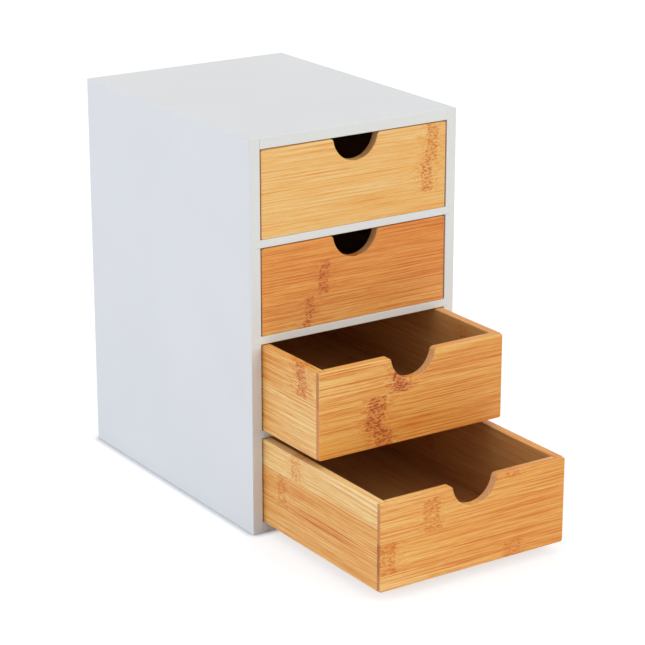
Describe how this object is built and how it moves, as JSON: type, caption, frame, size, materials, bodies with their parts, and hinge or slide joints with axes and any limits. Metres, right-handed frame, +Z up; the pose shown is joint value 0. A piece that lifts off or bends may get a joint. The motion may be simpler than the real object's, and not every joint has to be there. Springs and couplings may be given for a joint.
{
  "type": "drawer organizer",
  "caption": "Upright desktop organizer: a white box with a column of sliding bamboo drawers, each with a half-round finger notch in its front.",
  "frame": {"origin": "centre of the carcass's footprint, on the surface that it stands on", "axes": "+Z up, -Y out of the drawer fronts, +X to the right of someone who faces the drawers"},
  "size_m": [0.15, 0.3245, 0.25],
  "materials": {
    "white_paint": "satin",
    "pale_bamboo": "satin",
    "amber_bamboo": "satin",
    "honey_bamboo": "satin",
    "steel": "satin"
  },
  "bodies": {
    "carcass": {"left_side_panel": "white_paint", "right_side_panel": "white_paint", "top_panel": "white_paint", "bottom_panel": "white_paint", "back_panel": "white_paint", "upper_shelf": "white_paint", "middle_shelf": "white_paint", "lower_shelf": "white_paint", "corner_brads": "steel", "back_panel_pins": "steel"},
    "top_drawer": {"top_drawer_front": "pale_bamboo", "top_drawer_left_side": "pale_bamboo", "top_drawer_right_side": "pale_bamboo", "top_drawer_back": "pale_bamboo", "top_drawer_bottom": "pale_bamboo"},
    "second_drawer": {"second_drawer_front": "amber_bamboo", "second_drawer_left_side": "amber_bamboo", "second_drawer_right_side": "amber_bamboo", "second_drawer_back": "amber_bamboo", "second_drawer_bottom": "amber_bamboo"},
    "third_drawer": {"third_drawer_front": "honey_bamboo", "third_drawer_left_side": "honey_bamboo", "third_drawer_right_side": "honey_bamboo", "third_drawer_back": "honey_bamboo", "third_drawer_bottom": "honey_bamboo"},
    "bottom_drawer": {"bottom_drawer_front": "honey_bamboo", "bottom_drawer_left_side": "honey_bamboo", "bottom_drawer_right_side": "honey_bamboo", "bottom_drawer_back": "honey_bamboo", "bottom_drawer_bottom": "honey_bamboo"}
  },
  "joints": [
    {"name": "top_drawer_slide", "type": "slide", "parent": "carcass", "child": "top_drawer", "axis": [0, -1, 0], "range_m": [0, 0.15]},
    {"name": "second_drawer_slide", "type": "slide", "parent": "carcass", "child": "second_drawer", "axis": [0, -1, 0], "range_m": [0, 0.15]},
    {"name": "third_drawer_slide", "type": "slide", "parent": "carcass", "child": "third_drawer", "axis": [0, -1, 0], "range_m": [-0.0615, 0.0885]},
    {"name": "bottom_drawer_slide", "type": "slide", "parent": "carcass", "child": "bottom_drawer", "axis": [0, -1, 0], "range_m": [-0.1245, 0.0255]}
  ]
}
